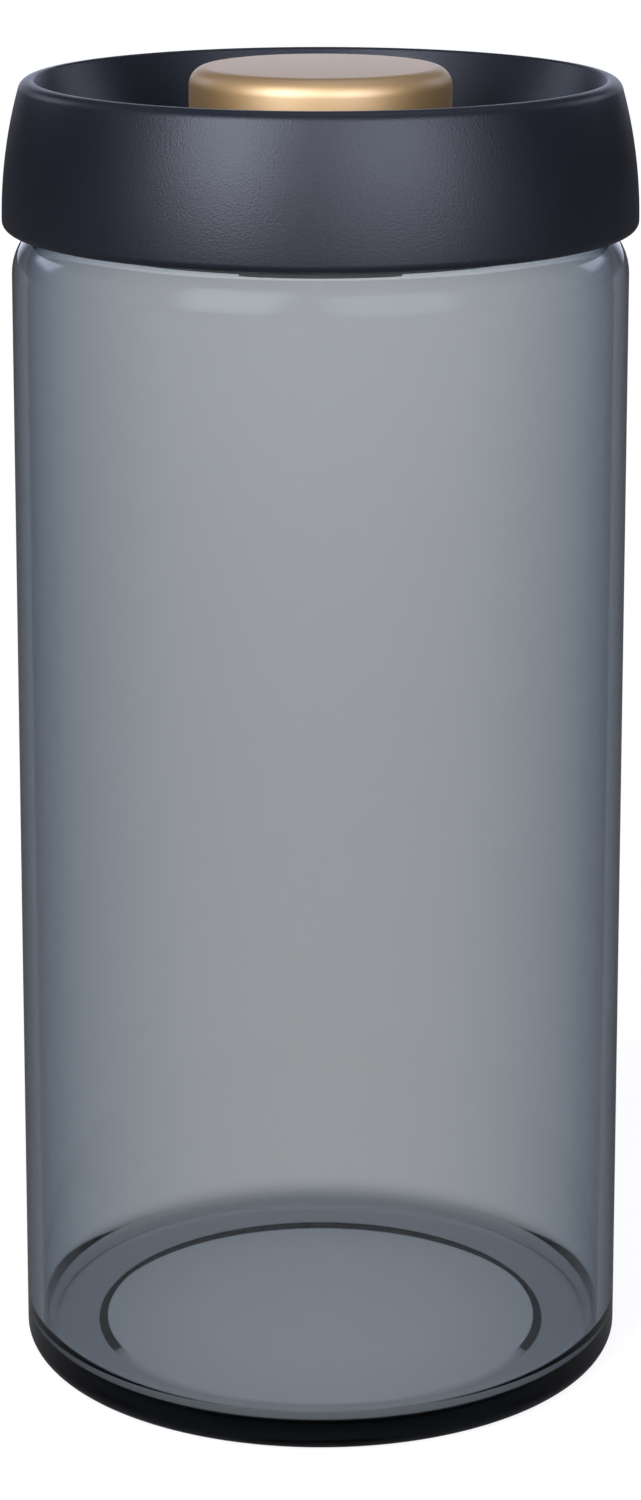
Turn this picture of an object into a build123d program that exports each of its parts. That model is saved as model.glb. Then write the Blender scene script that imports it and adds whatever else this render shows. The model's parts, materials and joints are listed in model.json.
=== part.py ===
from build123d import *
import os
from math import asin, cos, pi, radians, sqrt, tan

# Vacuum seal canister: a smoked glass jar and a black lid whose metal button works a
# small pump. Millimetres, +Z up, the origin at the centre of the base on the table,
# and the front of the canister towards -Y. Outlines are half sections (r, z).

# Fits
fit_gap = 0.05  # between pieces fixed to each other
slide_gap = 0.30  # round a piece that moves
rest_gap = 0.10  # under the lid, and at the stops

# Glass jar
jar_diameter = 100.0
jar_height = 196.4
glass_wall = 2.4
glass_base = 4.0
heel_round = 3.0
inner_heel_round = 4.0
foot_width = 9.0
foot_recess = 1.2
foot_slope = 1.5
shoulder_round = 9.0
neck_inset = 7.0
neck_round = 2.0
neck_straight = 1.9
mouth_wall = 2.5
mouth_round = 1.5

# Lid cap
lid_overhang = 1.5
lid_wall = 2.2
skirt_drop = 6.0
skirt_round = 1.4
crown_radius = 78.0
rim_flat = 0.12
rim_outer_round = 2.0
rim_inner_round = 0.6
dish_depth = 12.8
dish_draft_angle = 24.0
dish_round = 3.0
boss_radius = 2.3
boss_share = 0.5  # of the dish's depth, above its floor

# Button
button_stand = 1.8  # above the lid's rim
button_wall = 1.0
button_round = 3.0
button_lift = 0.6  # above the bumper ring
button_stroke = 7.5

# Plunger under the button
plunger_wall = 3.0
plunger_flange_height = 3.8
plunger_catch = 1.6  # how far its flange stands out past the button
plunger_web = 1.8
plunger_web_drop = 4.8  # from the button's top inside to the web
groove_height = 2.2
groove_depth = 2.0
vent_count = 6
vent_width = 3.0
vent_depth = 0.6
vent_notch = 1.6
bumper_width = 2.2
bumper_height = 1.0
bumper_bevel = 0.3

# Pump housing under the lid cap
ring_space = 9.7  # a finger's room, from the collar out to the plug's wall
housing_flange = 2.0
flange_gap = 0.9
well_wall = 2.0
well_stand = 1.8  # above the dish floor
plate_thickness = 1.8
plug_wall = 2.0
plug_bead = 0.9
plug_round = 0.9
stroke_reserve = 0.5
rib_count = 6
rib_thickness = 1.4
rib_height = 5.0
ledge_width = 1.6
ledge_thickness = 1.6

# Screws that hold the housing to the lid cap
screw_count = 6
screw_start_angle = 30.0
screw_edge = 2.0
screw_radius = 1.1
screw_head_radius = 1.9
screw_length = 8.0

# Seals
seal_space = 2.2  # from the plug to the jar's mouth
seal_sleeve = 0.95
seal_flange = 0.9
lip_count = 3
lip_root = 1.1
lip_tip = 0.3
o_ring_section = 1.2
cup_channel_width = 0.9
cup_channel_depth = 1.2

# Collar round the button
collar_wall = 1.5
collar_thickness = 2.4
collar_recess = 0.9
collar_round = 0.8

# Umbrella valves
valve_share = 0.315  # of the plunger's bore
valve_rise = 1.2
valve_edge = 0.25
valve_bulb_height = 0.95
valve_stem_share = 0.278
valve_bulb_share = 0.352
port_circle_share = 0.667
port_share = 0.167
port_count = 6

# Filter under the intake valve
filter_radius = 12.0
filter_ring_wall = 1.0
filter_room = 0.25  # under the valve's bulb
screen_thickness = 0.25
screen_pitch = 2.2
screen_opening = 1.4
filter_cover_floor = 0.8
filter_cover_wall = 1.1
filter_slot_count = 8
filter_slot_length = 5.6
filter_slot_width = 1.6

# Return spring
spring_share = 0.64  # of the plunger's bore
spring_wire = 1.4
spring_turns = 4.5
spring_rib_width = 1.4
spring_rib_height = 1.8

# Release valve, in the ring between the collar and the plug's wall
release_stand = 2.8  # above the dish floor
release_seat = 0.55
release_tube_wall = 1.2
release_knob_share = 0.33
release_round_share = 0.25
release_stem_share = 0.375
release_hole_share = 0.53
release_poppet_share = 0.94
release_head_share = 0.62
release_spring_share = 0.72
release_wire_share = 0.16
release_bore_depth = 4.0
release_knob_depth = 1.8  # below the lid floor
release_poppet_height = 1.05
release_spring_turns = 5

# Worked out from the sizes above. Outwards in: jar, plug, collar, well, plunger, button
jar_radius = jar_diameter / 2
neck_radius = jar_radius - neck_inset
mouth_radius = neck_radius - mouth_wall
plug_radius = mouth_radius - seal_space
plug_inner = plug_radius - plug_wall
collar_radius = plug_inner - ring_space
well_outer = collar_radius - collar_wall - rest_gap
well_radius = well_outer - well_wall
plunger_radius = well_radius - slide_gap + rest_gap
button_radius = plunger_radius - plunger_catch
collar_bore = button_radius + slide_gap
plunger_tube = button_radius - button_wall - fit_gap
plunger_bore = plunger_tube - plunger_wall
groove_radius = plunger_radius - groove_depth
spring_radius = spring_share * plunger_bore
spring_rib_outer = spring_radius - spring_wire / 2 - slide_gap
spring_rib_inner = spring_rib_outer - spring_rib_width
valve_radius = valve_share * plunger_bore
valve_stem_radius = valve_stem_share * valve_radius
valve_bulb_radius = valve_bulb_share * valve_radius
lid_radius = jar_radius + lid_overhang
housing_radius = lid_radius - lid_wall - flange_gap
screw_circle = housing_radius - screw_edge

# From the jar's rim up: flange, dish floor, lid and button
lip_radius = mouth_wall / 2
neck_z = jar_height - lip_radius - neck_straight
skirt_bottom = jar_height - skirt_drop
flange_bottom = jar_height + rest_gap + seal_flange
flange_top = flange_bottom + housing_flange
dish_floor = flange_top + lid_wall
lid_top = dish_floor + dish_depth
button_top = lid_top + button_stand
button_bevel = (2 - sqrt(2)) * (button_round - button_wall)  # inside, where the wall stays whole
web_top = button_top - button_wall - plunger_web_drop
web_bottom = web_top - plunger_web

# From the collar down: plunger, then the well's floor one stroke below it
well_top = dish_floor + well_stand
collar_stop = well_top + collar_recess
bumper_top = collar_stop - rest_gap
plunger_flange_top = bumper_top - bumper_height
plunger_flange_bottom = plunger_flange_top - plunger_flange_height
groove_bottom = plunger_flange_bottom + (plunger_flange_height - groove_height) / 2
groove_top = groove_bottom + groove_height
plate_top = plunger_flange_bottom - button_stroke - stroke_reserve
plate_bottom = plate_top - plate_thickness
filter_bottom = plate_bottom - valve_bulb_height - filter_room

# The release valve stands in the middle of the ring
release_y = collar_radius + ring_space / 2
release_radius = release_knob_share * ring_space
release_bore = release_radius + slide_gap
release_top = dish_floor + release_stand
release_bottom = flange_top - release_knob_depth
release_axis = Axis((0, release_y, 0), (0, 0, 1))
release_plane = Plane.XZ.offset(-release_y)


def arc_about(centre, start, end):
    """The short arc from start to end round centre."""
    centre, start, end = Vector(*centre), Vector(*start), Vector(*end)
    middle = (start + end) / 2 - centre
    return ThreePointArc(start, centre + middle.normalized() * (start - centre).length, end)


def between(centre_a, radius_a, centre_b):
    """The point on circle a on the way to the centre of circle b."""
    a, b = Vector(*centre_a), Vector(*centre_b)
    point = a + (b - a).normalized() * radius_a
    return point.X, point.Y


def corner(sketch, *points):
    """The sketch's vertices nearest to the points."""
    return [sketch.vertices().sort_by_distance((r, z, 0))[0] for r, z in points]


def finish(part, name):
    """Label a finished piece and write it."""
    part.label = name
    export_step(part, f"parts/{name}.step")


def make_glass_jar():
    """One blown glass body: foot ring, straight wall, shoulder, neck and round rim."""
    bore = jar_radius - glass_wall
    foot_inner = jar_radius - heel_round - foot_width
    neck = (neck_radius + neck_round, neck_z)
    shoulder_x = jar_radius - shoulder_round
    shoulder_z = neck_z - sqrt((shoulder_round + neck_round) ** 2 - (neck[0] - shoulder_x) ** 2)
    shoulder = (shoulder_x, shoulder_z)
    shoulder_inner = shoulder_round - glass_wall
    mouth_x = mouth_radius + mouth_round
    mouth_rise = sqrt((shoulder_inner + mouth_round) ** 2 - (mouth_x - shoulder_x) ** 2)
    mouth = (mouth_x, shoulder_z + mouth_rise)
    outer_turn = between(shoulder, shoulder_round, neck)
    inner_turn = between(shoulder, shoulder_inner, mouth)
    rim = jar_height - lip_radius
    with BuildPart() as glass_jar:
        with BuildSketch(Plane.XZ):
            with BuildLine():
                Polyline(
                    (0, glass_base),
                    (0, foot_recess),
                    (foot_inner - foot_slope, foot_recess),
                    (foot_inner, 0),
                    (jar_radius - heel_round, 0),
                )
                arc_about(
                    (jar_radius - heel_round, heel_round),
                    (jar_radius - heel_round, 0),
                    (jar_radius, heel_round),
                )
                Line((jar_radius, heel_round), (jar_radius, shoulder_z))
                arc_about(shoulder, (jar_radius, shoulder_z), outer_turn)
                arc_about(neck, outer_turn, (neck_radius, neck_z))
                Line((neck_radius, neck_z), (neck_radius, rim))
                ThreePointArc(
                    (neck_radius, rim), (neck_radius - lip_radius, jar_height), (mouth_radius, rim)
                )
                Line((mouth_radius, rim), (mouth_radius, mouth[1]))
                arc_about(mouth, (mouth_radius, mouth[1]), inner_turn)
                arc_about(shoulder, inner_turn, (bore, shoulder_z))
                Line((bore, shoulder_z), (bore, glass_base + inner_heel_round))
                arc_about(
                    (bore - inner_heel_round, glass_base + inner_heel_round),
                    (bore, glass_base + inner_heel_round),
                    (bore - inner_heel_round, glass_base),
                )
                Line((bore - inner_heel_round, glass_base), (0, glass_base))
            make_face()
        revolve(axis=Axis.Z)
    finish(glass_jar.part, "glass_jar")


def make_lid_cap():
    """The black moulded cap: a crowned skirt, a thin rim and a deep dish, with six bosses."""
    crown_x = lid_radius - crown_radius
    crown_z = skirt_bottom + skirt_round
    rise = lid_top - crown_z
    rim_outer = crown_x + sqrt(crown_radius**2 - rise**2)
    rim_middle = crown_x + sqrt(crown_radius**2 - (rise / 2) ** 2)
    slope = tan(radians(dish_draft_angle))

    # The rim's two corners stand as far apart as their rounds and the flat between need
    outer_turn = pi / 2 - asin(rise / crown_radius)
    inner_turn = pi / 2 - radians(dish_draft_angle)
    rim_land = rim_outer_round * tan(outer_turn / 2) + rim_flat + rim_inner_round * tan(inner_turn / 2)
    rim_inner = rim_outer - rim_land
    dish_corner = rim_inner - dish_depth * slope
    hidden_x = dish_corner - lid_wall * slope + lid_wall / cos(radians(dish_draft_angle))

    # Where the hidden face of the dish's wall meets the skirt's inside: their two
    # equations in the height above the floor's underside
    inner_crown = crown_radius - lid_wall
    run, lift = hidden_x - crown_x, flange_top - crown_z
    half = run * slope + lift
    square = 1 + slope**2
    height = (sqrt(half**2 - square * (run**2 + lift**2 - inner_crown**2)) - half) / square
    meet = (hidden_x + height * slope, flange_top + height)
    inner_mid_z = (crown_z + meet[1]) / 2
    inner_mid = (crown_x + sqrt(inner_crown**2 - (inner_mid_z - crown_z) ** 2), inner_mid_z)

    floor_hole = well_outer + slide_gap
    with BuildPart() as lid_cap:
        with BuildSketch(Plane.XZ) as section:
            with BuildLine():
                Polyline(
                    (lid_radius - lid_wall, crown_z),
                    (lid_radius - lid_wall, skirt_bottom),
                    (lid_radius - skirt_round, skirt_bottom),
                )
                arc_about(
                    (lid_radius - skirt_round, crown_z),
                    (lid_radius - skirt_round, skirt_bottom),
                    (lid_radius, crown_z),
                )
                ThreePointArc((lid_radius, crown_z), (rim_middle, crown_z + rise / 2), (rim_outer, lid_top))
                Polyline(
                    (rim_outer, lid_top),
                    (rim_inner, lid_top),
                    (dish_corner, dish_floor),
                    (floor_hole, dish_floor),
                    (floor_hole, flange_top),
                    (hidden_x, flange_top),
                    meet,
                )
                ThreePointArc(meet, inner_mid, (lid_radius - lid_wall, crown_z))
            make_face()
            fillet(corner(section, (rim_outer, lid_top)), rim_outer_round)
            fillet(corner(section, (rim_inner, lid_top)), rim_inner_round)
            fillet(corner(section, (dish_corner, dish_floor)), dish_round)
        revolve(axis=Axis.Z)
        with BuildSketch(Plane.XY.offset(flange_top)):
            with PolarLocations(screw_circle, screw_count, screw_start_angle):
                Circle(boss_radius)
        extrude(amount=lid_wall + boss_share * dish_depth)
        with BuildSketch(Plane.XY.offset(flange_top)):
            with PolarLocations(screw_circle, screw_count, screw_start_angle):
                Circle(screw_radius + fit_gap)
        extrude(amount=screw_length - housing_flange + fit_gap, mode=Mode.SUBTRACT)
        with BuildSketch(Plane.XY.offset(flange_top)):
            with Locations((0, release_y)):
                Circle(release_bore)
        extrude(amount=lid_wall, mode=Mode.SUBTRACT)
    finish(lid_cap.part, "lid_cap")


# A valve's stem hole and its ring of ports, cut through the web that it sits on
with BuildSketch() as valve_ports:
    Circle(valve_stem_radius + rest_gap)
    with PolarLocations(port_circle_share * valve_radius, port_count):
        Circle(port_share * valve_radius)


def make_pump_housing():
    """Plug, pump well, flange and release tube in one moulding, screwed up into the cap."""
    ledge_top = flange_top - o_ring_section - fit_gap
    filter_inner = filter_radius - filter_ring_wall
    with BuildPart() as pump_housing:
        with BuildSketch(Plane.XZ) as section:
            with BuildLine():
                Polyline(
                    (0, plate_bottom),
                    (filter_inner, plate_bottom),
                    (filter_inner, filter_bottom),
                    (filter_radius, filter_bottom),
                    (filter_radius, plate_bottom),
                    (plug_radius + plug_bead, plate_bottom),
                    (plug_radius + plug_bead, plate_top),
                    (plug_radius, plate_top),
                    (plug_radius, flange_bottom),
                    (housing_radius, flange_bottom),
                    (housing_radius, flange_top),
                    (plug_inner, flange_top),
                    (plug_inner, plate_top),
                    (well_outer, plate_top),
                    (well_outer, ledge_top - ledge_thickness),
                    (well_outer + ledge_width, ledge_top - ledge_thickness),
                    (well_outer + ledge_width, ledge_top),
                    (well_outer, ledge_top),
                    (well_outer, well_top),
                    (well_radius, well_top),
                    (well_radius, plate_top),
                    (spring_rib_outer, plate_top),
                    (spring_rib_outer, plate_top + spring_rib_height),
                    (spring_rib_inner, plate_top + spring_rib_height),
                    (spring_rib_inner, plate_top),
                    (0, plate_top),
                    close=True,
                )
            make_face()
            fillet(corner(section, (plug_radius + plug_bead, plate_bottom)), plug_round)
        revolve(axis=Axis.Z)
        with BuildSketch(Plane.XY.offset(plate_top)):
            with PolarLocations((well_outer + plug_inner) / 2, rib_count):
                Rectangle(plug_inner - well_outer + plug_wall, rib_thickness)
        extrude(amount=rib_height)
        with BuildSketch(Plane.XY.offset(plate_top)):
            with Locations((0, release_y)):
                Circle(release_bore + release_tube_wall)
        extrude(amount=flange_top - plate_top - fit_gap)
        with BuildSketch(Plane.XY.offset(plate_top)):
            with Locations((0, release_y)):
                Circle(release_bore)
        extrude(amount=flange_top - plate_top, mode=Mode.SUBTRACT)
        with BuildSketch(Plane.XY.offset(plate_bottom)):
            with Locations((0, release_y)):
                Circle(release_hole_share * release_radius)
        extrude(amount=plate_thickness, mode=Mode.SUBTRACT)
        with BuildSketch(Plane.XY.offset(plate_bottom)):
            add(valve_ports.sketch)
        extrude(amount=plate_thickness, mode=Mode.SUBTRACT)
        with Locations(Plane(origin=(0, 0, flange_bottom), z_dir=(0, 0, -1))):
            with PolarLocations(screw_circle, screw_count, screw_start_angle):
                CounterSinkHole(
                    radius=screw_radius + fit_gap,
                    counter_sink_radius=screw_head_radius + fit_gap,
                    depth=housing_flange,
                    counter_sink_angle=90,
                )
    finish(pump_housing.part, "pump_housing")


def make_housing_screws():
    """Countersunk screws, heads flush under the flange and shanks up in the cap's bosses."""
    with BuildPart() as housing_screws:
        with Locations((0, 0, flange_bottom)):
            with PolarLocations(screw_circle, screw_count, screw_start_angle):
                Cone(
                    screw_head_radius,
                    screw_radius,
                    screw_head_radius - screw_radius,
                    align=(Align.CENTER, Align.CENTER, Align.MIN),
                )
                Cylinder(
                    screw_radius, screw_length, align=(Align.CENTER, Align.CENTER, Align.MIN)
                )
    finish(housing_screws.part, "housing_screws")


def make_jar_seal():
    """Silicone sleeve round the plug, with a flange on the rim and lips in the mouth."""
    inner = plug_radius + fit_gap
    outer = inner + seal_sleeve
    lip_radius_out = mouth_radius - rest_gap
    bottom = plate_top + fit_gap
    lip_step = (jar_height - bottom) / lip_count
    with BuildPart() as jar_seal:
        with BuildSketch(Plane.XZ):
            with BuildLine():
                Polyline(
                    (inner, bottom),
                    (outer, bottom),
                    (outer, flange_bottom - seal_flange),
                    (neck_radius, flange_bottom - seal_flange),
                    (neck_radius, flange_bottom),
                    (inner, flange_bottom),
                    close=True,
                )
            make_face()
            for i in range(lip_count):
                root = bottom + i * lip_step + lip_root / 2
                with BuildLine():
                    Polyline(
                        (inner + fit_gap, root),
                        (outer, root),
                        (lip_radius_out, root + lip_root - lip_tip),
                        (lip_radius_out, root + lip_root),
                        (outer, root + lip_root),
                        (inner + fit_gap, root + lip_root),
                        close=True,
                    )
                make_face()
        revolve(axis=Axis.Z)
    finish(jar_seal.part, "jar_seal")


def make_dish_o_ring():
    """O-ring round the well, between the housing's ledge and the underside of the dish.

    Its section is eight-sided, which keeps a hidden ring light."""
    section = o_ring_section / 2
    with BuildPart() as dish_o_ring:
        with BuildSketch(Plane.XZ):
            with Locations((well_outer + section + fit_gap, flange_top - section - fit_gap / 2)):
                RegularPolygon(section, 8)
        revolve(axis=Axis.Z)
    finish(dish_o_ring.part, "dish_o_ring")


def make_button_collar():
    """Trim ring on the dish floor round the well, which also keeps the plunger in."""
    sleeve = well_outer + rest_gap
    top = well_top + collar_thickness
    with BuildPart() as button_collar:
        with BuildSketch(Plane.XZ) as section:
            with BuildLine():
                Polyline(
                    (sleeve, dish_floor),
                    (collar_radius, dish_floor),
                    (collar_radius, top),
                    (collar_bore, top),
                    (collar_bore, collar_stop),
                    (well_radius, collar_stop),
                    (well_radius, well_top),
                    (sleeve, well_top),
                    close=True,
                )
            make_face()
            fillet(corner(section, (collar_radius, top)), collar_round)
        revolve(axis=Axis.Z)
    finish(button_collar.part, "button_collar")


def make_bumper_ring():
    """Soft ring on the plunger's flange that meets the collar when the button comes up."""
    inner = plunger_tube + fit_gap
    outer = inner + bumper_width
    with BuildPart() as bumper_ring:
        with BuildSketch(Plane.XZ) as section:
            with BuildLine():
                Polyline(
                    (inner, plunger_flange_top),
                    (outer, plunger_flange_top),
                    (outer, bumper_top),
                    (inner, bumper_top),
                    close=True,
                )
            make_face()
            chamfer(corner(section, (outer, bumper_top), (inner, bumper_top)), bumper_bevel)
        revolve(axis=Axis.Z)
    finish(bumper_ring.part, "bumper_ring")


def make_plunger():
    """The pump's piston: a tube with a web, a grooved flange and vents up its outside."""
    tube_top = button_top - button_wall - fit_gap
    with BuildPart() as plunger:
        with BuildSketch(Plane.XZ) as section:
            with BuildLine():
                Polyline(
                    (0, web_bottom),
                    (spring_rib_inner, web_bottom),
                    (spring_rib_inner, web_bottom - spring_rib_height),
                    (spring_rib_outer, web_bottom - spring_rib_height),
                    (spring_rib_outer, web_bottom),
                    (plunger_bore, web_bottom),
                    (plunger_bore, plunger_flange_bottom),
                    (plunger_radius, plunger_flange_bottom),
                    (plunger_radius, groove_bottom),
                    (groove_radius, groove_bottom),
                    (groove_radius, groove_top),
                    (plunger_radius, groove_top),
                    (plunger_radius, plunger_flange_top),
                    (plunger_tube, plunger_flange_top),
                    (plunger_tube, tube_top),
                    (plunger_bore, tube_top),
                    (plunger_bore, web_top),
                    (0, web_top),
                    close=True,
                )
            make_face()
            chamfer(corner(section, (plunger_tube, tube_top)), button_bevel)
        revolve(axis=Axis.Z)
        with BuildSketch(Plane.XY.offset(web_bottom)):
            add(valve_ports.sketch)
        extrude(amount=plunger_web, mode=Mode.SUBTRACT)
        with BuildSketch(Plane.XY.offset(plunger_flange_top)):
            with PolarLocations(plunger_tube, vent_count):
                Rectangle(2 * vent_depth, vent_width)
        extrude(amount=tube_top - plunger_flange_top, mode=Mode.SUBTRACT)
        with BuildSketch(Plane.XY.offset(tube_top - vent_notch)):
            with PolarLocations((plunger_tube + plunger_bore) / 2, vent_count):
                Rectangle(2 * plunger_wall, vent_width)
        extrude(amount=vent_notch, mode=Mode.SUBTRACT)
    finish(plunger.part, "plunger")


def make_piston_seal():
    """U-cup in the plunger's groove, its channel open towards the pump's chamber."""
    inner = groove_radius + fit_gap
    outer = well_radius - fit_gap
    bottom, top = groove_bottom + fit_gap, groove_top - fit_gap
    channel = (inner + outer) / 2
    with BuildPart() as piston_seal:
        with BuildSketch(Plane.XZ):
            with BuildLine():
                Polyline(
                    (inner, top),
                    (inner, bottom),
                    (channel - cup_channel_width / 2, bottom),
                    (channel, bottom + cup_channel_depth),
                    (channel + cup_channel_width / 2, bottom),
                    (outer, bottom),
                    (outer, top),
                    close=True,
                )
            make_face()
        revolve(axis=Axis.Z)
    finish(piston_seal.part, "piston_seal")


def make_button_cap():
    """The drawn aluminium cap over the plunger, flat on top with a rounded edge."""
    inner = button_radius - button_wall
    inner_top = button_top - button_wall
    bottom = bumper_top + button_lift
    with BuildPart() as button_cap:
        with BuildSketch(Plane.XZ) as section:
            with BuildLine():
                Polyline(
                    (0, inner_top),
                    (inner, inner_top),
                    (inner, bottom),
                    (button_radius, bottom),
                    (button_radius, button_top),
                    (0, button_top),
                    close=True,
                )
            make_face()
            fillet(corner(section, (button_radius, button_top)), button_round)
            chamfer(corner(section, (inner, inner_top)), button_bevel)
        revolve(axis=Axis.Z)
    finish(button_cap.part, "button_cap")


def make_umbrella_valve(name, seat, web):
    """Silicone flap over the ports of a web, held by a bulb pulled through its middle hole."""
    tail = seat - web - fit_gap
    with BuildPart() as valve:
        with BuildSketch(Plane.XZ):
            with BuildLine():
                Polyline(
                    (0, seat + valve_rise),
                    (0, tail - valve_bulb_height),
                    (valve_stem_radius / 2, tail - valve_bulb_height),
                    (valve_bulb_radius, tail),
                    (valve_stem_radius, tail),
                    (valve_stem_radius, seat + valve_edge),
                    (valve_radius - valve_edge, seat + fit_gap),
                    (valve_radius, seat + fit_gap),
                    (valve_radius, seat + valve_edge),
                    (valve_radius / 2, seat + valve_rise),
                    close=True,
                )
            make_face()
        revolve(axis=Axis.Z)
    finish(valve.part, name)


def make_filter():
    """A mesh disc under the intake valve, and the slotted cap that holds it."""
    screen_top = filter_bottom - fit_gap
    screen_bottom = screen_top - screen_thickness
    cover_top = screen_bottom - fit_gap
    cover_inner = filter_radius + fit_gap
    cover_outer = cover_inner + filter_cover_wall
    cover_bottom = cover_top - filter_cover_floor
    reach = filter_radius - filter_ring_wall - screen_pitch
    steps = int(reach / screen_pitch)
    cells = [
        (i * screen_pitch, j * screen_pitch)
        for i in range(-steps, steps + 1)
        for j in range(-steps, steps + 1)
        if sqrt(i**2 + j**2) * screen_pitch < reach
    ]
    with BuildPart() as filter_screen:
        with BuildSketch(Plane.XY.offset(screen_bottom)):
            Circle(filter_radius)
            with Locations(*cells):
                Rectangle(screen_opening, screen_opening, mode=Mode.SUBTRACT)
        extrude(amount=screen_thickness)
    finish(filter_screen.part, "filter_screen")

    with BuildPart() as filter_cover:
        with BuildSketch(Plane.XY.offset(cover_bottom)):
            Circle(cover_outer)
            with PolarLocations(filter_radius / 2, filter_slot_count):
                SlotOverall(filter_slot_length, filter_slot_width, mode=Mode.SUBTRACT)
        extrude(amount=filter_cover_floor)
        with BuildSketch(Plane.XY.offset(cover_top)):
            Circle(cover_outer)
            Circle(cover_inner, mode=Mode.SUBTRACT)
        extrude(amount=plate_bottom - fit_gap - cover_top)
    finish(filter_cover.part, "filter_cover")


def make_spring(name, radius, wire, turns, bottom, top, y):
    """A coil of wire between two flat seats. Its eight-sided wire keeps the coil light."""
    pitch = (top - bottom - wire) / turns
    with BuildPart() as spring:
        with BuildLine():
            coil = Helix(pitch, pitch * turns, radius, center=(0, y, bottom + wire / 2))
        with BuildSketch(Plane(origin=coil @ 0, z_dir=coil % 0)):
            RegularPolygon(wire / 2, 8)
        sweep(is_frenet=True)
    points = [coil @ (i / 200) for i in range(201)]
    turn = int(200 / turns)
    gap = min((a - b).length for i, a in enumerate(points) for b in points[i + turn // 2 :]) - wire
    length = turns * sqrt((2 * pi * radius) ** 2 + pitch**2)
    print(name, "least gap between turns", round(gap, 2), "wire length", round(length, 1))
    finish(spring.part, name)


def make_release_valve():
    """Push knob, stem and silicone poppet that let air back in behind the button."""
    stem_radius = release_stem_share * release_radius
    bore_top = release_bottom + release_bore_depth
    poppet_top = plate_bottom - fit_gap
    poppet_bottom = poppet_top - release_poppet_height
    head_bottom = poppet_bottom - release_seat
    with BuildPart() as release_button:
        with BuildSketch(release_plane) as section:
            with BuildLine():
                Polyline(
                    (0, bore_top),
                    (stem_radius + fit_gap, bore_top),
                    (stem_radius + fit_gap, release_bottom),
                    (release_radius, release_bottom),
                    (release_radius, release_top),
                    (0, release_top),
                    close=True,
                )
            make_face()
            fillet(
                corner(section, (release_radius, release_top)),
                release_round_share * release_radius,
            )
        revolve(axis=release_axis)
    finish(release_button.part, "release_button")

    with BuildPart() as release_stem:
        with BuildSketch(release_plane):
            with BuildLine():
                Polyline(
                    (0, head_bottom),
                    (release_head_share * release_radius, head_bottom),
                    (release_head_share * release_radius, poppet_bottom),
                    (stem_radius, poppet_bottom),
                    (stem_radius, bore_top - fit_gap),
                    (0, bore_top - fit_gap),
                    close=True,
                )
            make_face()
        revolve(axis=release_axis)
    finish(release_stem.part, "release_stem")

    with BuildPart() as release_seal:
        with BuildSketch(release_plane):
            with BuildLine():
                Polyline(
                    (stem_radius + fit_gap, poppet_bottom),
                    (release_poppet_share * release_radius, poppet_bottom),
                    (release_poppet_share * release_radius, poppet_top),
                    (stem_radius + fit_gap, poppet_top),
                    close=True,
                )
            make_face()
        revolve(axis=release_axis)
    finish(release_seal.part, "release_seal")

    make_spring(
        "release_spring",
        release_spring_share * release_radius,
        release_wire_share * release_radius,
        release_spring_turns,
        plate_top + fit_gap,
        release_bottom - fit_gap,
        release_y,
    )


os.makedirs("parts", exist_ok=True)
make_glass_jar()
make_lid_cap()
make_pump_housing()
make_housing_screws()
make_jar_seal()
make_dish_o_ring()
make_button_collar()
make_bumper_ring()
make_plunger()
make_piston_seal()
make_button_cap()
make_umbrella_valve("intake_valve", plate_top, plate_thickness)
make_umbrella_valve("exhaust_valve", web_top, plunger_web)
make_filter()
make_spring(
    "return_spring",
    spring_radius,
    spring_wire,
    spring_turns,
    plate_top + fit_gap,
    web_bottom - fit_gap,
    0,
)
make_release_valve()
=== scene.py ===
import json
import math

import bpy
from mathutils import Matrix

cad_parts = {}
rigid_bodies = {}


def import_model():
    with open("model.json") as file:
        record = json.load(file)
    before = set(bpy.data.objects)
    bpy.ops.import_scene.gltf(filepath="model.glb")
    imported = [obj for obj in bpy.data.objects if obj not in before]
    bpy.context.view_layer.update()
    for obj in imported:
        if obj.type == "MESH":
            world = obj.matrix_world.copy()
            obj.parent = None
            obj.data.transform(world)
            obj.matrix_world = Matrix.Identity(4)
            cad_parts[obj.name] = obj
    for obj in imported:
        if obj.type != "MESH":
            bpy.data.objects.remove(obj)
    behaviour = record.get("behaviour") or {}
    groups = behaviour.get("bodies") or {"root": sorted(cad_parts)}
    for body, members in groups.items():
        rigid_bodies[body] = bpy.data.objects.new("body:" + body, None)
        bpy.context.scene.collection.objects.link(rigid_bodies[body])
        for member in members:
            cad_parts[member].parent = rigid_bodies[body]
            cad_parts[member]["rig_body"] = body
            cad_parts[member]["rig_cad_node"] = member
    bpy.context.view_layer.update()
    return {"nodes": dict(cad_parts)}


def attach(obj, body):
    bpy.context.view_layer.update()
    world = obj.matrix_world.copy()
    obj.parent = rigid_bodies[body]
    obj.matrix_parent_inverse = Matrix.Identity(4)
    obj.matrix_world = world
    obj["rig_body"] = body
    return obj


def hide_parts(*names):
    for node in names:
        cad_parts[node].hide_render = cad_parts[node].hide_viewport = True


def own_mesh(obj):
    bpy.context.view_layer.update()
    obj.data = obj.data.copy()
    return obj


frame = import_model()
nodes = frame["nodes"]

# Glass jar. One body of smoked glass, blown into a polished mould, its mouth cut and fire
# polished afterwards. Sizes are in millimetres, and heights are above the table.

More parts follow.
